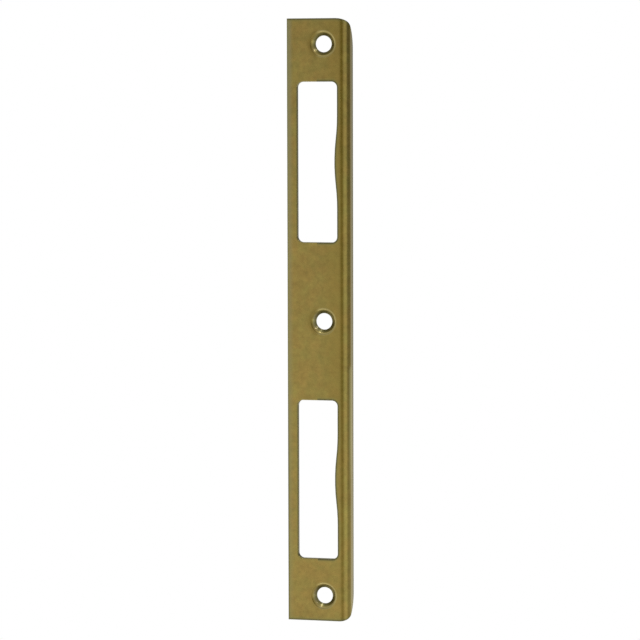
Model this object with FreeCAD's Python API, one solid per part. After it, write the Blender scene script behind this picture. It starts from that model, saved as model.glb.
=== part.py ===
import FreeCAD, Part
import math
import os

# Door strike plate: one strip of sheet steel, punched, countersunk and folded along one side.
# Millimetres. +Z runs up the jamb, -Y points out of the visible face, and the fold is on the +X side.
# The origin is the middle screw hole's centre, on the face that lies against the jamb.

# Sheet and overall size
sheet_thickness = 2.0
plate_length = 200.0
plate_width = 20.8  # from the free edge to the lip's outer side
lip_depth = 7.0  # from the visible face to the lip's free edge
bend_inner_radius = 1.4
edge_rounding = 0.25  # what the punch rolls over on the visible side of every cut edge

# Rounded corners of the flat blank at the lip's two ends, measured along the visible skin
upper_corner_radius = 10.0
lower_corner_radius = 9.0

# Countersunk screw holes, in one line down the plate
screw_line_inset = 12.2  # from the free edge
screw_end_inset = 8.4  # from each end of the plate to the outer screw hole there
screw_hole_diameter = 5.5
countersink_diameter = 8.9  # where its rounded rim leaves the face
countersink_angle = 90.0
countersink_rounding = 0.6  # its rim is pressed round

# Latch slot above the middle screw, bolt slot below it
slot_length = 53.0
slot_end_inset = 20.8  # from each end of the plate to the slot nearest it
slot_border = 3.35  # strip left between a slot and the free edge
slot_to_bend = 0.4  # flat left between a slot and the start of the bend
slot_corner_radius = 1.9
slot_bow = 0.9  # how far the lip side of a slot swells into it
slot_bow_length = 30.5

# Places worked out from the sizes above
free_edge_x = -screw_line_inset
lip_outer_x = free_edge_x + plate_width
visible_y = -sheet_thickness
lip_end_y = visible_y + lip_depth
half_length = plate_length / 2
screw_pitch = half_length - screw_end_inset
slot_offset = half_length - slot_end_inset - slot_length / 2
bend_outer_radius = bend_inner_radius + sheet_thickness
bend_start_x = lip_outer_x - bend_outer_radius
bend_end_y = visible_y + bend_outer_radius
bend_development = bend_outer_radius * math.pi / 2
lip_straight = lip_depth - bend_outer_radius
cut_margin = bend_inner_radius / 2  # how far a cutting solid stands past the sheet's two sides
cut_depth = sheet_thickness + 2 * cut_margin
rim_turn = math.pi / 2 - math.radians(countersink_angle / 2)
sharp_rim_radius = countersink_diameter / 2 - countersink_rounding * math.tan(rim_turn / 2)

touching = 1e-6
UP = FreeCAD.Vector(0, 0, 1)
INTO_JAMB = FreeCAD.Vector(0, 1, 0)


def point(x, y, z=0.0):
    return FreeCAD.Vector(x, y, z)


def line(start, end):
    return Part.LineSegment(start, end).toShape()


def arc(start, middle, end):
    return Part.Arc(start, middle, end).toShape()


def bend_point(radius, angle, z=0.0):
    """A point of the bend: its angle is 0 where the face ends and 90 degrees where the lip begins."""
    return point(bend_start_x + radius * math.sin(angle), bend_end_y - radius * math.cos(angle), z)


def folded_strip():
    """The sheet's L-shaped section, run the length of the plate."""
    quarter = math.pi / 2
    outer = [bend_point(bend_outer_radius, quarter * share) for share in (0, 0.5, 1)]
    inner = [bend_point(bend_inner_radius, quarter * share) for share in (1, 0.5, 0)]
    free_face = point(free_edge_x, visible_y)
    free_back = point(free_edge_x, 0)
    lip_outside = point(lip_outer_x, lip_end_y)
    lip_inside = point(lip_outer_x - sheet_thickness, lip_end_y)
    section = Part.Wire(
        [
            line(free_face, outer[0]),
            arc(*outer),
            line(outer[2], lip_outside),
            line(lip_outside, lip_inside),
            line(lip_inside, inner[0]),
            arc(*inner),
            line(inner[2], free_back),
            line(free_back, free_face),
        ]
    )
    section.translate(UP * -half_length)
    return Part.Face(section).extrude(UP * plate_length)


def folded_point(from_lip_edge, depth, z):
    """Where a point of the flat blank lies once folded; depth is measured from the visible side."""
    into_bend = from_lip_edge - lip_straight
    if into_bend <= 0:
        return point(lip_outer_x - depth, lip_end_y - from_lip_edge, z)
    if into_bend <= bend_development:
        angle = (bend_development - into_bend) / bend_outer_radius
        return bend_point(bend_outer_radius - depth, angle, z)
    return point(bend_start_x - (into_bend - bend_development), visible_y + depth, z)


def corner_curve(radius, depth):
    """The quarter circle of a corner at the blank's upper end, folded with the sheet, at one depth in it."""
    steps = 24
    turns = [math.pi / 2 * step / steps for step in range(steps + 1)]
    points = [
        folded_point(
            radius * (1 - math.cos(turn)),
            depth,
            half_length - radius * (1 - math.sin(turn)),
        )
        for turn in turns
    ]
    curve = Part.BSplineCurve()
    curve.interpolate(Points=points, Parameters=turns)
    return curve.toShape()


def corner_waste(radius):
    """What a rounded corner takes off the upper end of the folded strip, on the lip, bend and face."""
    outside = corner_curve(radius, -cut_margin)
    inside = corner_curve(radius, sheet_thickness + cut_margin)
    return Part.makeRuledSurface(outside, inside).extrude(UP * radius)


def screw_hole(z):
    """A drilled hole and the countersink on its visible side, its rim still sharp."""
    slope = math.tan(math.radians(countersink_angle / 2))
    rim_radius = sharp_rim_radius + cut_margin * slope
    start = point(0, visible_y - cut_margin, z)
    drilled = Part.makeCylinder(screw_hole_diameter / 2, cut_depth, start, INTO_JAMB)
    countersunk = Part.makeCone(rim_radius, 0, rim_radius / slope, start, INTO_JAMB)
    return drilled.fuse(countersunk)


def bow(side_x, y, middle_z):
    """Three tangent arcs, foot, crown and foot, that swell a slot's side into the slot and back."""
    half = slot_bow_length / 2
    turn = 2 * math.atan(slot_bow / half)
    radius = half / (2 * math.sin(turn))
    feet = []
    for up in (1, -1):
        feet.append(
            [
                point(
                    side_x - radius * (1 - math.cos(angle)),
                    y,
                    middle_z + up * (half - radius * math.sin(angle)),
                )
                for angle in (0, turn / 2, turn)
            ]
        )
    upper, lower = feet
    crest = point(side_x - slot_bow, y, middle_z)
    return [arc(*upper), arc(upper[2], crest, lower[2]), arc(*reversed(lower))]


def slot(middle_z):
    """A slot right through the face, with rounded corners and its lip side bowed."""
    y = visible_y - cut_margin
    left = free_edge_x + slot_border
    right = bend_start_x - slot_to_bend
    upper = middle_z + slot_length / 2
    lower = middle_z - slot_length / 2
    outline = Part.Wire(
        [
            line(point(left, y, lower), point(left, y, upper)),
            line(point(left, y, upper), point(right, y, upper)),
            line(point(right, y, upper), point(right, y, middle_z + slot_bow_length / 2)),
            *bow(right, y, middle_z),
            line(point(right, y, middle_z - slot_bow_length / 2), point(right, y, lower)),
            line(point(right, y, lower), point(left, y, lower)),
        ]
    )
    cutter = Part.Face(outline).extrude(INTO_JAMB * cut_depth)
    corners = [
        edge
        for edge in cutter.Edges
        if edge.BoundBox.YLength > sheet_thickness
        and abs(abs(edge.CenterOfMass.z - middle_z) - slot_length / 2) < touching
    ]
    return cutter.makeFillet(slot_corner_radius, corners)


def is_visible_skin(face):
    """True for the face of the plate, the outside of its bend and the outer side of its lip."""
    surface = face.Surface
    if isinstance(surface, Part.Cylinder):
        along_bend = abs(surface.Axis.z) > 1 - touching
        return along_bend and abs(surface.Radius - bend_outer_radius) < touching
    if not isinstance(surface, Part.Plane):
        return False
    box = face.BoundBox
    return box.YMax - visible_y < touching or lip_outer_x - box.XMin < touching


def visible_cut_edges(plate):
    """The edges that bound the visible skin: each belongs to one skin face only."""
    edges = [edge for face in plate.Faces if is_visible_skin(face) for edge in face.Edges]
    return [edge for edge in edges if sum(edge.isSame(other) for other in edges) == 1]


def is_circle(edge, radius):
    """True for an edge that runs round a circle of that radius."""
    curve = edge.Curve
    return isinstance(curve, Part.Circle) and abs(curve.Radius - radius) < touching


def strike_plate():
    """The finished plate: a folded strip, its cuts, and every visible cut edge eased."""
    cuts = [
        corner_waste(upper_corner_radius),
        corner_waste(lower_corner_radius).mirror(point(0, 0), UP),
    ]
    cuts += [screw_hole(z) for z in (-screw_pitch, 0.0, screw_pitch)]
    cuts += [slot(z) for z in (-slot_offset, slot_offset)]
    plate = folded_strip().cut(cuts)
    rims = [edge for edge in visible_cut_edges(plate) if is_circle(edge, sharp_rim_radius)]
    plate = plate.makeFillet(countersink_rounding, rims)
    rolled_rim = countersink_diameter / 2
    edges = [edge for edge in visible_cut_edges(plate) if not is_circle(edge, rolled_rim)]
    return plate.makeFillet(edge_rounding, edges).Solids[0]


os.makedirs("parts", exist_ok=True)
strike_plate().exportStep("parts/strike_plate.step")
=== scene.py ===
"""A folded steel strike plate for a door jamb, finished in bronze lacquer, in a plain studio."""

import logging
import math
from dataclasses import dataclass, field
from typing import Any, Mapping, Optional, Union

import bmesh
import bpy
from mathutils import Matrix, Vector

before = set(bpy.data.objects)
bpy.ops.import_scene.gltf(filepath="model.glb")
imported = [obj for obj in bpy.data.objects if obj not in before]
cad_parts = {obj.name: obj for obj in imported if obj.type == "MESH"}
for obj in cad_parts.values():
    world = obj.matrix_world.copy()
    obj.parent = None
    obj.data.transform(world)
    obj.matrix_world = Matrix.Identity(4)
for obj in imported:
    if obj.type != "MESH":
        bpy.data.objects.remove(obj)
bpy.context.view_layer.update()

LOG = logging.getLogger("strike_plate")
MM = 0.001

Colour = tuple[float, float, float]
Place = tuple[float, float, float]
Number = Union[int, float]

WHITE: Colour = (1.0, 1.0, 1.0)
COOL: Colour = (0.72, 0.74, 1.0)


def opaque(colour: Colour) -> tuple[float, float, float, float]:
    """A colour with the fourth number that sockets ask for."""
    return (*colour, 1.0)


@dataclass(frozen=True)
class Band:
    """Where a smooth change is 0 and where it is 1; the second may be the lower number."""

    start: float
    end: float


@dataclass(frozen=True)
class Mottle:
    """Fractal noise: the size of its largest features in millimetres, and its finer octaves."""

    size: float
    detail: float
    rough: float


class Wire:
    """One number running through a node tree, with arithmetic that adds Math nodes."""

    def __init__(self, bench: "Bench", socket: bpy.types.NodeSocket) -> None:
        """Wrap an output socket.

        Args:
            bench: The node tree's bench, which makes new nodes.
            socket: The output that the number comes from.
        """
        self.bench = bench
        self.socket = socket

    def math(self, operation: str, *others: Union["Wire", Number], first: bool = True) -> "Wire":
        """Join this number with others in one Math node.

        Args:
            operation: The Math node's operation.
            others: The other operands, in order.
            first: Whether this number comes first; a reflected operator puts it second.

        Returns:
            The result as a new wire.
        """
        operands = [self, *others] if first else [*others, self]
        inputs = dict(enumerate(operands))
        return self.bench.number("ShaderNodeMath", {"operation": operation}, inputs, "Value")

    def __add__(self, other: Union["Wire", Number]) -> "Wire":
        """Sum."""
        return self.math("ADD", other)

    def __radd__(self, other: Number) -> "Wire":
        """Sum, reflected."""
        return self.math("ADD", other, first=False)

    def __sub__(self, other: Union["Wire", Number]) -> "Wire":
        """Difference."""
        return self.math("SUBTRACT", other)

    def __rsub__(self, other: Number) -> "Wire":
        """Difference, reflected."""
        return self.math("SUBTRACT", other, first=False)

    def __mul__(self, other: Union["Wire", Number]) -> "Wire":
        """Product."""
        return self.math("MULTIPLY", other)

    def __rmul__(self, other: Number) -> "Wire":
        """Product, reflected."""
        return self.math("MULTIPLY", other, first=False)

    def __abs__(self) -> "Wire":
        """Absolute value."""
        return self.math("ABSOLUTE")

    def lowest(self, other: Union["Wire", Number]) -> "Wire":
        """The smaller of two numbers."""
        return self.math("MINIMUM", other)

    def highest(self, other: Union["Wire", Number]) -> "Wire":
        """The larger of two numbers."""
        return self.math("MAXIMUM", other)

    def root(self) -> "Wire":
        """Square root."""
        return self.math("SQRT")

    def fade(self, band: Band) -> "Wire":
        """A smooth step across a band.

        Args:
            band: Where the step is 0 and where it is 1.

        Returns:
            A number from 0 to 1.
        """
        if band.start > band.end:
            return 1 - self.fade(Band(band.end, band.start))
        settings = {"interpolation_type": "SMOOTHSTEP"}
        inputs = {
            "Value": self,
            "From Min": band.start,
            "From Max": band.end,
            "To Min": 0.0,
            "To Max": 1.0,
        }
        return self.bench.number("ShaderNodeMapRange", settings, inputs, "Result")


class Bench:
    """Where a node tree is put together."""

    def __init__(self, tree: bpy.types.NodeTree) -> None:
        """Start from an empty tree.

        Args:
            tree: The tree to fill.
        """
        tree.nodes.clear()
        self.tree = tree

    def node(
        self,
        kind: str,
        settings: Optional[Mapping[str, Any]] = None,
        inputs: Optional[Mapping[Any, Any]] = None,
    ) -> bpy.types.Node:
        """Add one node.

        Args:
            kind: The node's type.
            settings: Its own properties, set before its sockets.
            inputs: Values, wires or sockets by input name or index.

        Returns:
            The new node.
        """
        node = self.tree.nodes.new(kind)
        for name, value in (settings or {}).items():
            setattr(node, name, value)
        for key, value in (inputs or {}).items():
            source = value.socket if isinstance(value, Wire) else value
            if isinstance(source, bpy.types.NodeSocket):
                self.tree.links.new(source, node.inputs[key])
            else:
                node.inputs[key].default_value = source
        return node

    def number(
        self, kind: str, settings: Mapping[str, Any], inputs: Mapping[Any, Any], output: str
    ) -> Wire:
        """Add one node and take one number from it.

        Args:
            kind: The node's type.
            settings: Its own properties.
            inputs: Its inputs.
            output: The output to take.

        Returns:
            That output as a wire.
        """
        return Wire(self, self.node(kind, settings, inputs).outputs[output])

    def mix(self, factor: Any, low: Any, high: Any, blend: str = "MIX") -> bpy.types.NodeSocket:
        """Mix two colours.

        Args:
            factor: How much of the second colour, or how strongly it blends.
            low: The first colour.
            high: The second colour.
            blend: The Mix node's blend type.

        Returns:
            The mixed colour's socket.
        """
        ends = [opaque(end) if isinstance(end, tuple) else end for end in (low, high)]
        settings = {"data_type": "RGBA", "blend_type": blend, "clamp_result": False}
        node = self.node("ShaderNodeMix", settings, {0: factor, 6: ends[0], 7: ends[1]})
        return node.outputs[2]

    def colour(self, channels: Mapping[int, Wire]) -> bpy.types.NodeSocket:
        """Join three numbers into a colour."""
        return self.node("ShaderNodeCombineColor", {}, channels).outputs[0]

    def axes(self, vector: bpy.types.NodeSocket) -> tuple[Wire, Wire, Wire]:
        """Split a vector into its three numbers."""
        node = self.node("ShaderNodeSeparateXYZ", {}, {"Vector": vector})
        return tuple(Wire(self, node.outputs[name]) for name in "XYZ")

    def noise(self, place: bpy.types.NodeSocket, mottle: Mottle) -> Wire:
        """Fractal noise, a number around 0.5.

        Args:
            place: The coordinates, in metres.
            mottle: How coarse and how detailed it is.

        Returns:
            The noise as a wire.
        """
        inputs = {
            "Vector": place,
            "Scale": 1 / (mottle.size * MM),
            "Detail": mottle.detail,
            "Roughness": mottle.rough,
        }
        return self.number("ShaderNodeTexNoise", {"noise_dimensions": "3D"}, inputs, "Fac")


@dataclass(frozen=True)
class Spot:
    """Where a point of the plate lies: its coordinates and distances, in millimetres."""

    x: Wire
    y: Wire
    z: Wire
    from_lip_edge: Wire
    from_free_edge: Wire
    to_outline: Wire
    to_slot: Wire
    to_hole: Wire


@dataclass(frozen=True)
class BlankLayout:
    """The flat blank's outline and openings, in millimetres, for a finish that follows the cuts.

    The eases move the dark line of painted edge shade off the face: they are added to the
    distance from a cut on the side of the free edge.
    """

    free_edge_x: float = -12.2
    bend_start_x: float = 5.2
    bend_end_y: float = 1.4
    bend_radius: float = 3.4
    lip_straight: float = 3.6
    half_length: float = 100.0
    corner_radii: tuple[float, float] = (10.0, 9.0)
    slot_middle: tuple[float, float] = (-2.025, 52.7)
    slot_half: tuple[float, float] = (6.825, 26.5)
    slot_corner: float = 1.9
    slot_bow: float = 0.9
    slot_bow_half: float = 15.25
    screw_pitch: float = 91.6
    hole_radius: float = 2.75
    free_edge_ease: float = 0.3
    free_edge_ease_loss: float = 0.6
    free_edge_ease_ends: Band = Band(-15.0, -50.0)
    slot_ease: float = 0.6
    slot_ease_depth: Band = Band(-1.6, -1.9)

    def survey(self, x: Wire, y: Wire, z: Wire) -> Spot:
        """Measure a point against the blank.

        Args:
            x: Place across the plate.
            y: Place through the plate, into the jamb.
            z: Place along the plate.

        Returns:
            The point with its distances from the edges and cuts.
        """
        from_lip_edge = self.from_lip_edge(x, y)
        from_free_edge = self.from_free_edge(from_lip_edge)
        to_outline = self.to_outline(from_lip_edge, from_free_edge, z)
        to_slot = self.to_slot(x, y, z)
        to_hole = self.to_hole(x, z)
        return Spot(x, y, z, from_lip_edge, from_free_edge, to_outline, to_slot, to_hole)

    def from_lip_edge(self, x: Wire, y: Wire) -> Wire:
        """How far round the sheet a place is from the lip's free edge.

        Args:
            x: Place across the plate.
            y: Place through the plate, into the jamb.

        Returns:
            The distance along the sheet, through the bend.
        """
        turn = (x - self.bend_start_x).math("ARCTAN2", self.bend_end_y - y)
        turn = turn.highest(0.0).lowest(math.pi / 2)
        in_bend = self.bend_radius * (math.pi / 2 - turn)
        on_face = (self.bend_start_x - x).highest(0.0)
        on_lip = (y - self.bend_end_y).highest(0.0)
        return self.lip_straight + in_bend + on_face - on_lip

    def from_free_edge(self, from_lip_edge: Wire) -> Wire:
        """Distance from the plate's free edge, given the distance from the lip's."""
        width = self.lip_straight + self.bend_radius * math.pi / 2 + self.bend_start_x
        return width - self.free_edge_x - from_lip_edge

    def to_outline(self, from_lip_edge: Wire, from_free_edge: Wire, z: Wire) -> Wire:
        """Distance inwards from the blank's outline.

        Args:
            from_lip_edge: Distance round the sheet from the lip's free edge.
            from_free_edge: Distance round the sheet from the plate's free edge.
            z: Place along the plate.

        Returns:
            The distance to the nearest outer cut.
        """
        upper, lower = self.corner_radii
        radius = (upper + lower) / 2 + (upper - lower) / 2 * z.math("SIGN")
        near_lip = (radius - from_lip_edge).highest(0.0)
        near_end = (abs(z) - self.half_length + radius).highest(0.0)
        rounded = radius - (near_lip * near_lip + near_end * near_end).root()
        kept = 1 - self.free_edge_ease_loss * z.fade(self.free_edge_ease_ends)
        return rounded.lowest(from_free_edge + self.free_edge_ease * kept)

    def to_slot(self, x: Wire, y: Wire, z: Wire) -> Wire:
        """Distance across the face from the nearer slot's rim.

        Args:
            x: Place across the plate.
            y: Place through the plate, into the jamb.
            z: Place along the plate.

        Returns:
            The distance, negative inside the slot.
        """
        middle_x, middle_z = self.slot_middle
        along = abs(abs(z) - middle_z)
        lip_side = x.math("GREATER_THAN", middle_x)
        swell = self.slot_bow * along.fade(Band(self.slot_bow_half, 0.0)) * lip_side
        beside = abs(x - middle_x) + swell
        out_x = beside - (self.slot_half[0] - self.slot_corner)
        out_z = along - (self.slot_half[1] - self.slot_corner)
        beyond_x = out_x.highest(0.0)
        beyond_z = out_z.highest(0.0)
        beyond = (beyond_x * beyond_x + beyond_z * beyond_z).root()
        free_side = x.math("LESS_THAN", middle_x)
        ease = self.slot_ease * y.fade(self.slot_ease_depth) * free_side
        return beyond + out_x.highest(out_z).lowest(0.0) - self.slot_corner + ease

    def to_hole(self, x: Wire, z: Wire) -> Wire:
        """Distance across the face from the nearest screw hole's wall.

        Args:
            x: Place across the plate.
            z: Place along the plate.

        Returns:
            The distance, negative inside the hole.
        """
        along = abs(z).lowest(abs(abs(z) - self.screw_pitch))
        return (x * x + along * along).root() - self.hole_radius


@dataclass(frozen=True)
class Film:
    """One tint laid over the lacquer, of its own colour in some films and of painted light and
    shade in others, and the share of what is below that it hides where fullest.
    """

    tint: Colour
    cover: float


@dataclass(frozen=True)
class CloudedLacquer:
    """The lacquer away from edges: two olive tones in clouds, with flecks, grain and patches.

    Its foot and lower half are bands along the plate, and beside_bend is one across it.
    """

    green_tone: Colour = (0.236, 0.186, 0.048)
    warm_tone: Colour = (0.256, 0.178, 0.047)
    tones: Mottle = Mottle(size=5.0, detail=3.0, rough=0.6)
    toning: Band = Band(0.30, 0.70)
    grain: Mottle = Mottle(size=0.8, detail=1.0, rough=0.5)
    patches: Mottle = Mottle(size=14.0, detail=2.0, rough=0.5)
    plain_level: float = 0.52
    fleck_level: float = 0.46
    grain_level: float = 0.25
    patch_level: float = 0.25
    loss_per_mm_across: float = 0.004
    foot: Band = Band(-95.5, -98.5)
    foot_loss: float = 0.08
    lower_half: Band = Band(-15.0, -55.0)
    beside_bend: Band = Band(-2.0, 4.0)
    beside_bend_gain: float = 0.04

    def colour(
        self, bench: Bench, place: bpy.types.NodeSocket, spot: Spot, flecks: Wire
    ) -> bpy.types.NodeSocket:
        """Colour the lacquer.

        Args:
            bench: The material's bench.
            place: Object coordinates.
            spot: The point on the plate.
            flecks: The metallic fleck's noise.

        Returns:
            The colour's socket.
        """
        tones = bench.noise(place, self.tones).fade(self.toning)
        base = bench.mix(tones, self.green_tone, self.warm_tone)
        patches = bench.noise(place, self.patches)
        grain = bench.noise(place, self.grain)
        level = self.plain_level + self.fleck_level * flecks + self.grain_level * grain
        level = level + self.patch_level * patches - self.loss_per_mm_across * spot.x
        level = level - self.foot_loss * spot.z.fade(self.foot)
        gain = self.beside_bend_gain * spot.x.fade(self.beside_bend)
        level = level + gain * spot.z.fade(self.lower_half)
        shade = bench.colour({channel: level for channel in range(3)})
        return bench.mix(1.0, base, shade, "MULTIPLY")


@dataclass(frozen=True)
class SideFilms:
    """Films that run the length of the plate: by the bend, by the free edge, and a painted
    reflection on the lip.

    Each band called ends or start is measured along the plate, where a film weakens or sets
    in. The rich film's other bands lie across the plate, the paler free edge's starts from the
    free edge, and the others are measured round the sheet from the lip's edge.
    """

    rich: Film = Film((0.232, 0.165, 0.034), 0.45)
    rich_rise: Band = Band(-2.0, 5.0)
    rich_fall: Band = Band(7.0, 6.0)
    rich_ends: Band = Band(-15.0, -55.0)
    rich_loss: float = 0.7
    paler_free_edge: Film = Film((0.236, 0.219, 0.108), 0.58)
    paler_reach: Band = Band(2.4, 0.2)
    paler_gain_per_mm_up: float = 0.0035
    lip: Film = Film((0.218, 0.212, 0.130), 0.75)
    lip_edge: Band = Band(4.2, 2.0)
    pale_stretch: Film = Film((0.385, 0.345, 0.150), 0.8)
    pale_stretch_start: Band = Band(-14.0, -16.5)
    pale_stretch_rise: Band = Band(1.6, 3.2)
    pale_stretch_fall: Band = Band(5.5, 4.3)
    pale_stretch_ends: Band = Band(-40.0, -62.0)
    pale_stretch_loss: float = 0.85

    def lay(
        self, bench: Bench, spot: Spot, base: bpy.types.NodeSocket
    ) -> bpy.types.NodeSocket:
        """Lay the films over the lacquer.

        Args:
            bench: The material's bench.
            spot: The point on the plate.
            base: The colour below.

        Returns:
            The new colour.
        """
        rich = self.rich.cover * spot.x.fade(self.rich_rise) * spot.x.fade(self.rich_fall)
        rich = rich * (1 - self.rich_loss * spot.z.fade(self.rich_ends))
        base = bench.mix(rich, base, self.rich.tint)
        # paler and greyer along the free edge, more so further up the plate
        paler_cover = self.paler_free_edge.cover + self.paler_gain_per_mm_up * spot.z
        paler_free_edge = spot.from_free_edge.fade(self.paler_reach) * paler_cover
        base = bench.mix(paler_free_edge, base, self.paler_free_edge.tint)
        # painted reflection: a pale grey sheen over the lip, which is seen edge-on
        lip = self.lip.cover * spot.from_lip_edge.fade(self.lip_edge)
        base = bench.mix(lip, base, self.lip.tint)
        # paler stretch where the lip turns into the bend, from a little below the middle downwards
        pale_stretch = spot.z.fade(self.pale_stretch_start)
        pale_stretch = pale_stretch * (1 - self.pale_stretch_loss * spot.z.fade(self.pale_stretch_ends))
        pale_stretch = pale_stretch * spot.from_lip_edge.fade(self.pale_stretch_rise)
        pale_stretch = pale_stretch * spot.from_lip_edge.fade(self.pale_stretch_fall)
        return bench.mix(self.pale_stretch.cover * pale_stretch, base, self.pale_stretch.tint)


@dataclass(frozen=True)
class CountersinkFilms:
    """Painted light and shade round the screw holes, laid as films, which differ on the side of
    the plate's free edge: a painted highlight on each rim, a painted dark ring and a painted pale
    reflection on the free side, and painted shade in the cone on the other side.

    The rises, falls and edges are distances from a hole's wall. The back is a depth, the free
    side lies across the plate, and the lowest and highest holes are places along it.
    """

    not_the_back: Band = Band(-0.2, -0.5)
    free_side: Band = Band(-1.2, -3.0)
    rim_highlight: Film = Film((0.285, 0.235, 0.090), 0.8)
    rim_highlight_rise: Band = Band(0.90, 1.25)
    rim_highlight_fall: Band = Band(1.95, 1.65)
    rim_highlight_loss: float = 0.9
    shade_ring: Film = Film((0.160, 0.112, 0.022), 0.6)
    shade_ring_rise: Band = Band(0.80, 1.15)
    shade_ring_fall: Band = Band(3.2, 1.4)
    shade_ring_loss: float = 0.7
    lowest_hole: Band = Band(-60.0, -80.0)
    cone_reflection: Film = Film((0.292, 0.226, 0.140), 0.6)
    cone_reflection_edge: Band = Band(1.05, 0.75)
    cone_reflection_loss: float = 0.4
    highest_hole: Band = Band(60.0, 80.0)
    shaded: Film = Film((0.082, 0.080, 0.034), 0.35)
    shaded_edge: Band = Band(1.15, 0.80)

    def lay(
        self, bench: Bench, spot: Spot, base: bpy.types.NodeSocket
    ) -> bpy.types.NodeSocket:
        """Lay the films over the lacquer.

        Args:
            bench: The material's bench.
            spot: The point on the plate.
            base: The colour below.

        Returns:
            The new colour.
        """
        sunk = spot.y.fade(self.not_the_back)
        left = spot.x.fade(self.free_side)
        out = spot.to_hole
        # painted highlight: a pale ring on the rounded rim of each countersink, faint on the free
        # side
        painted_highlight = self.rim_highlight.cover * sunk * out.fade(self.rim_highlight_rise) * out.fade(self.rim_highlight_fall)
        painted_highlight = painted_highlight * (1 - self.rim_highlight_loss * left)
        base = bench.mix(painted_highlight, base, self.rim_highlight.tint)
        # painted shade: a dark ring round each countersink on the free side, weaker at the lowest
        # hole
        shade_ring = self.shade_ring.cover * left * sunk * out.fade(self.shade_ring_rise) * out.fade(self.shade_ring_fall)
        shade_ring = shade_ring * (1 - self.shade_ring_loss * spot.z.fade(self.lowest_hole))
        base = bench.mix(shade_ring, base, self.shade_ring.tint)
        # painted reflection: a pale grey sheen on the cone's free side, weaker at the highest hole
        cone_reflection = left * sunk * out.fade(self.cone_reflection_edge)
        cone_reflection = cone_reflection * (self.cone_reflection.cover - self.cone_reflection_loss * spot.z.fade(self.highest_hole))
        base = bench.mix(cone_reflection, base, self.cone_reflection.tint)
        shaded = self.shaded.cover * (1 - left) * sunk * out.fade(self.shaded_edge)
        return bench.mix(shaded, base, self.shaded.tint)


@dataclass(frozen=True)
class CutFilms:
    """The film along every cut: greener near it, with painted shade that darkens the edges, the
    lip's far edge and the slot walls.

    The edges are distances inwards from a cut, and the depths are places through the sheet.
    """

    green: Film = Film((0.205, 0.195, 0.062), 0.5)
    green_edge: Band = Band(1.5, 0.3)
    edge_shade_tint: Colour = (0.082, 0.080, 0.034)
    edge_shade_reach: Band = Band(0.85, 0.05)
    edge_shade_depth: Band = Band(-1.8, -1.3)
    edge_shade_loss: float = 0.4
    lip_cover: float = 0.95
    lip_edge: Band = Band(1.7, 0.5)
    slot_wall: Band = Band(0.12, 0.04)
    slot_wall_depth: Band = Band(-1.9, -1.6)

    def edge_shade(self, spot: Spot, to_cut: Wire) -> Wire:
        """How much painted shade darkens a place by a cut, at the lip's far edge and on a slot
        wall.

        Args:
            spot: The point on the plate.
            to_cut: Its distance from the nearest cut.

        Returns:
            A number from 0 to 1.
        """
        # painted shade: a dark line along every cut, weaker deep in the sheet, along the lip's far
        # edge and on the slot walls
        rim = to_cut.fade(self.edge_shade_reach)
        rim = rim * (1 - self.edge_shade_loss * spot.y.fade(self.edge_shade_depth))
        rim = rim.highest(self.lip_cover * spot.from_lip_edge.fade(self.lip_edge))
        wall = spot.to_slot.fade(self.slot_wall) * spot.y.fade(self.slot_wall_depth)
        return rim.highest(wall)

    def lay(
        self, bench: Bench, spot: Spot, base: bpy.types.NodeSocket
    ) -> tuple[bpy.types.NodeSocket, Wire]:
        """Lay the films over the lacquer.

        Args:
            bench: The material's bench.
            spot: The point on the plate.
            base: The colour below.

        Returns:
            The new colour, and how much painted edge shade it has.
        """
        to_cut = spot.to_outline.lowest(spot.to_slot).lowest(spot.to_hole)
        base = bench.mix(self.green.cover * to_cut.fade(self.green_edge), base, self.green.tint)
        edge_shade = self.edge_shade(spot, to_cut)
        return bench.mix(edge_shade, base, self.edge_shade_tint), edge_shade


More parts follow.
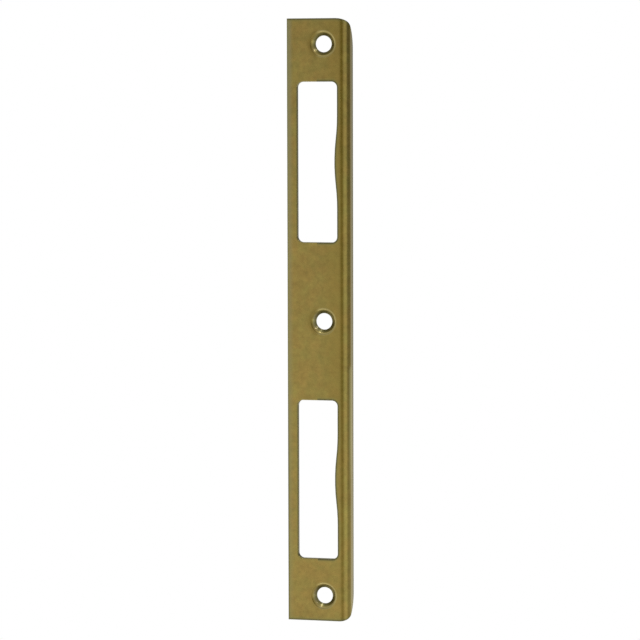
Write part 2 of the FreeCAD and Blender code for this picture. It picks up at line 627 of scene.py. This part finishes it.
@dataclass(frozen=True)
class BronzeLacquer:
    """Olive bronze lacquer over steel: a dull metallic film with a fine fleck."""

    lacquer: CloudedLacquer = CloudedLacquer()
    sides: SideFilms = SideFilms()
    countersinks: CountersinkFilms = CountersinkFilms()
    cuts: CutFilms = CutFilms()
    layout: BlankLayout = BlankLayout()
    flecks: Mottle = Mottle(size=2.2, detail=2.0, rough=0.5)
    noise_middle: float = 0.5
    edge_tint: Colour = (0.80, 0.74, 0.60)
    roughness: float = 0.27
    fleck_roughness: float = 0.10
    edge_shade_roughness: float = 0.08
    coat: float = 0.10
    coat_roughness: float = 0.2
    fleck_height: float = 0.006
    rim_height: float = 0.13
    soft_rim: Band = Band(1.70, 0.85)

    def normal(self, bench: Bench, spot: Spot, flecks: Wire) -> bpy.types.NodeSocket:
        """Raise the fleck and round the countersinks' rims.

        Args:
            bench: The material's bench.
            spot: The point on the plate.
            flecks: The metallic fleck's noise.

        Returns:
            The Bump node's normal.
        """
        sunk = spot.y.fade(self.countersinks.not_the_back)
        rim = spot.to_hole.fade(self.soft_rim) * sunk
        relief = self.fleck_height * flecks + self.rim_height * rim
        inputs = {"Strength": 1.0, "Distance": MM, "Height": relief}
        return bench.node("ShaderNodeBump", {}, inputs).outputs["Normal"]

    def material(self) -> bpy.types.Material:
        """Build the finish.

        Returns:
            A node material on Object coordinates.
        """
        material = bpy.data.materials.new("bronze_lacquer_film")
        material.use_nodes = True
        bench = Bench(material.node_tree)
        place = bench.node("ShaderNodeTexCoord").outputs["Object"]
        spot = self.layout.survey(*(axis * (1 / MM) for axis in bench.axes(place)))
        flecks = bench.noise(place, self.flecks)
        colour = self.lacquer.colour(bench, place, spot, flecks)
        colour = self.sides.lay(bench, spot, colour)
        colour = self.countersinks.lay(bench, spot, colour)
        colour, edge_shade = self.cuts.lay(bench, spot, colour)
        roughness = self.roughness + self.fleck_roughness * (flecks - self.noise_middle)
        inputs = {
            "Base Color": colour,
            "Metallic": 1.0,
            "Roughness": roughness + self.edge_shade_roughness * edge_shade,
            "Specular Tint": opaque(self.edge_tint),
            "Normal": self.normal(bench, spot, flecks),
            "Coat Roughness": self.coat_roughness,
            "Coat Weight": self.coat,
        }
        surface = bench.node("ShaderNodeBsdfPrincipled", {}, inputs)
        bench.node("ShaderNodeOutputMaterial", {}, {"Surface": surface.outputs[0]})
        return material


@dataclass(frozen=True)
class StrikePlate:
    """The plate itself: one node of the frame, in its lacquer."""

    node: str = "strike_plate"
    finish: BronzeLacquer = BronzeLacquer()

    def build(self) -> bpy.types.Object:
        """Dress the plate.

        Returns:
            The plate's object.
        """
        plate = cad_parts[self.node]
        plate.data.materials.clear()
        plate.data.materials.append(self.finish.material())
        return plate


@dataclass
class Viewpoint:
    """The camera: a long lens a little to the right of the plate and above its middle.

    Angles are in degrees, the sensor is in millimetres, the focal length and the picture are in
    pixels, and the rest is in metres.
    """

    target: Vector = field(default_factory=lambda: Vector((-1.07, -2.0, 0.54)) * MM)
    azimuth: float = 14.55
    elevation: float = 4.14
    roll: float = -0.138
    distance: float = 1.006
    focal_pixels: float = 3039.0
    picture_pixels: float = 640.0
    sensor_width: float = 36.0
    nearest: float = 0.05
    farthest: float = 50.0

    def axes(self) -> tuple[Vector, Vector, Vector]:
        """The directions to the camera's right, above it and ahead of it."""
        azimuth, elevation, roll = (
            math.radians(angle) for angle in (self.azimuth, self.elevation, self.roll)
        )
        ahead = Vector(
            (
                -math.sin(azimuth) * math.cos(elevation),
                math.cos(azimuth) * math.cos(elevation),
                -math.sin(elevation),
            )
        )
        level = Vector((math.cos(azimuth), math.sin(azimuth), 0.0))
        upright = level.cross(ahead)
        right = level * math.cos(roll) + upright * math.sin(roll)
        up = upright * math.cos(roll) - level * math.sin(roll)
        return right, up, ahead

    def build(self) -> bpy.types.Object:
        """Place the camera and make it the scene's.

        Returns:
            The camera.
        """
        right, up, ahead = self.axes()
        data = bpy.data.cameras.new("viewpoint")
        data.sensor_fit = "HORIZONTAL"
        data.sensor_width = self.sensor_width
        data.lens = self.sensor_width * self.focal_pixels / self.picture_pixels
        data.clip_start = self.nearest
        data.clip_end = self.farthest
        camera = bpy.data.objects.new("viewpoint", data)
        turn = Matrix((right, up, -ahead)).transposed().to_4x4()
        camera.matrix_world = Matrix.Translation(self.target - ahead * self.distance) @ turn
        bpy.context.scene.collection.objects.link(camera)
        bpy.context.scene.camera = camera
        return camera


@dataclass(frozen=True)
class Softbox:
    """One square area lamp aimed at a height on the plate, with a grid that narrows its beam.

    Its place, side and aim are in metres, its power in watts and its beam in degrees.
    """

    name: str
    place: Place
    side: float
    power: float
    aim_height: float = 0.0
    beam: float = 180.0
    colour: Colour = WHITE

    def build(self) -> bpy.types.Object:
        """Hang the lamp.

        Returns:
            The lamp.
        """
        data = bpy.data.lights.new(self.name, "AREA")
        data.shape = "SQUARE"
        data.size = self.side
        data.energy = self.power
        data.spread = math.radians(self.beam)
        data.color = self.colour
        lamp = bpy.data.objects.new(self.name, data)
        lamp.location = self.place
        ahead = Vector((0.0, 0.0, self.aim_height)) - Vector(self.place)
        lamp.rotation_euler = ahead.to_track_quat("-Z", "Y").to_euler()
        lamp.visible_camera = False
        bpy.context.scene.collection.objects.link(lamp)
        return lamp


@dataclass(frozen=True)
class Sector:
    """A part of the room round the plate that is brighter or dimmer than white.

    It rises and falls at bearings, in degrees to the right of straight out from the plate's
    face, and its reach is a height above or below the horizon, as a sine.
    """

    rises: Band
    falls: Band
    gain: Colour
    lean: float = 0.0
    reach: Band = Band(0.5, 0.2)

    def window(self, bearing: Wire, height: Wire) -> Wire:
        """How much of a direction lies in it.

        Args:
            bearing: The direction's bearing, in degrees.
            height: Its height above the horizon, as a sine.

        Returns:
            A number that is 0 outside it and 1 in its middle, less lower down if it leans.
        """
        across = bearing.fade(self.rises) * bearing.fade(self.falls)
        return across * abs(height).fade(self.reach) * (1 + self.lean * height)


@dataclass(frozen=True)
class Room:
    """What the metal reflects: a white room, dimmest just above the horizon, and its sectors.

    Heights are sines of the angle above the horizon, and the ceiling is a band of them.
    """

    horizon_level: float = 0.868
    loss_with_height: float = 2.5
    dimmest: float = 0.70
    brightest: float = 1.40
    ceiling: Band = Band(0.35, 0.70)
    ceiling_gain: float = 0.4
    sectors: tuple[Sector, ...] = (
        Sector(
            rises=Band(-160.0, -140.0), falls=Band(-90.0, -110.0), gain=(-0.50, -0.52, -0.62)
        ),
        Sector(rises=Band(-85.0, -65.0), falls=Band(-18.0, -38.0), gain=(0.45, 0.45, 0.45)),
        Sector(
            rises=Band(-3.0, 24.0), falls=Band(48.0, 33.0), gain=(-0.58, -0.60, -0.88), lean=1.2
        ),
        Sector(rises=Band(41.0, 53.0), falls=Band(90.0, 80.0), gain=(0.22, 0.29, 0.26)),
        Sector(
            rises=Band(78.0, 96.0), falls=Band(185.0, 124.0), gain=(-0.64, -0.62, -0.66), lean=2.7
        ),
    )

    def levels(self, bench: Bench, direction: bpy.types.NodeSocket) -> dict[int, Wire]:
        """How bright the room is in a direction.

        Args:
            bench: The world's bench.
            direction: The direction's socket.

        Returns:
            The level of red, green and blue by channel number.
        """
        x, y, z = bench.axes(direction)
        bearing = x.math("ARCTAN2", -1.0 * y) * math.degrees(1.0)
        slope = self.horizon_level - self.loss_with_height * z
        slope = slope.highest(self.dimmest).lowest(self.brightest)
        slope = slope + self.ceiling_gain * z.fade(self.ceiling)
        windows = [sector.window(bearing, z) for sector in self.sectors]
        levels = {}
        for channel in range(3):
            gains = [sector.gain[channel] for sector in self.sectors]
            change = sum(window * gain for window, gain in zip(windows, gains))
            levels[channel] = (1 + change) * slope
        return levels


@dataclass(frozen=True)
class Studio:
    """White surroundings that a metal surface sees too, a pale floor and soft lamps."""

    room: Room = Room()
    fill: float = 0.85
    floor_height: float = -0.42
    floor_side: float = 2.4
    floor_grey: Colour = (0.5, 0.5, 0.5)
    floor_lift: float = 0.6
    lamps: tuple[Softbox, ...] = (
        Softbox(
            name="upper_right_lamp",
            place=(0.763, -0.245, 0.868),
            side=0.08,
            power=0.003,
            aim_height=0.046,
            beam=8.0,
            colour=COOL,
        ),
        Softbox(
            name="overhead_lamp",
            place=(0.017, -0.067, 0.200),
            side=0.02,
            power=0.0009,
            aim_height=-0.0916,
            beam=17.0,
            colour=COOL,
        ),
        Softbox(name="lower_lamp", place=(-0.10, -0.30, -0.38), side=0.25, power=0.30),
    )

    def build(self) -> None:
        """Set up the surroundings, floor and lamps."""
        self.surround()
        floor = self.lay_floor()
        LOG.info("%s: %.1f m square", floor.name, self.floor_side)
        for softbox in self.lamps:
            lamp = softbox.build()
            LOG.info("%s: %.4f W", lamp.name, lamp.data.energy)

    def seen(self, bench: Bench) -> tuple[Wire, Wire]:
        """Find out which rays see the background.

        Args:
            bench: The node tree's bench.

        Returns:
            A number that is 1 for the camera, and one that is 1 for it, reflections and glass.
        """
        path = bench.node("ShaderNodeLightPath")
        camera = Wire(bench, path.outputs["Is Camera Ray"])
        glossy = Wire(bench, path.outputs["Is Glossy Ray"])
        glass = Wire(bench, path.outputs["Is Transmission Ray"])
        return camera, (camera + glossy + glass).lowest(1.0)

    def surround(self) -> None:
        """A white backdrop behind the plate, and the room that its metal reflects."""
        world = bpy.data.worlds.new("surroundings")
        world.use_nodes = True
        bench = Bench(world.node_tree)
        camera, shown = self.seen(bench)
        direction = bench.node("ShaderNodeTexCoord").outputs["Generated"]
        levels = self.room.levels(bench, direction)
        tone = bench.colour(
            {channel: camera + (1 - camera) * level for channel, level in levels.items()}
        )
        background = bench.node("ShaderNodeBackground", {}, {"Color": tone, "Strength": 1.0})
        fill = bench.node(
            "ShaderNodeBackground", {}, {"Color": opaque(WHITE), "Strength": self.fill}
        )
        either = bench.node(
            "ShaderNodeMixShader", {}, {0: shown, 1: fill.outputs[0], 2: background.outputs[0]}
        )
        bench.node("ShaderNodeOutputWorld", {}, {"Surface": either.outputs[0]})
        bpy.context.scene.world = world

    def floor_material(self) -> bpy.types.Material:
        """A pale matt floor that is white to the camera and keeps the plate's shadow."""
        material = bpy.data.materials.new("pale_floor")
        material.use_nodes = True
        bench = Bench(material.node_tree)
        _, shown = self.seen(bench)
        matt = bench.node("ShaderNodeBsdfDiffuse", {}, {"Color": opaque(self.floor_grey)})
        lift = bench.node(
            "ShaderNodeEmission", {}, {"Color": opaque(WHITE), "Strength": self.floor_lift * shown}
        )
        both = bench.node("ShaderNodeAddShader", {}, {0: matt.outputs[0], 1: lift.outputs[0]})
        bench.node("ShaderNodeOutputMaterial", {}, {"Surface": both.outputs[0]})
        return material

    def lay_floor(self) -> bpy.types.Object:
        """A wide pale floor well below the plate, which hangs clear of it.

        Returns:
            The floor.
        """
        mesh = bpy.data.meshes.new("floor")
        form = bmesh.new()
        bmesh.ops.create_grid(form, x_segments=1, y_segments=1, size=self.floor_side / 2)
        bmesh.ops.translate(form, verts=form.verts, vec=(0.0, 0.0, self.floor_height))
        form.to_mesh(mesh)
        form.free()
        floor = bpy.data.objects.new("floor", mesh)
        bpy.context.scene.collection.objects.link(floor)
        mesh.materials.append(self.floor_material())
        return floor


def main() -> None:
    """Build the plate, the camera and the studio."""
    logging.basicConfig(level=logging.INFO, format="%(name)s: %(message)s")
    bpy.context.scene.view_settings.view_transform = "Standard"
    plate = StrikePlate().build()
    LOG.info("%s: %d faces", plate.name, len(plate.data.polygons))
    camera = Viewpoint().build()
    LOG.info("%s: %.1f mm lens", camera.name, camera.data.lens)
    Studio().build()


if __name__ == "__main__":
    main()
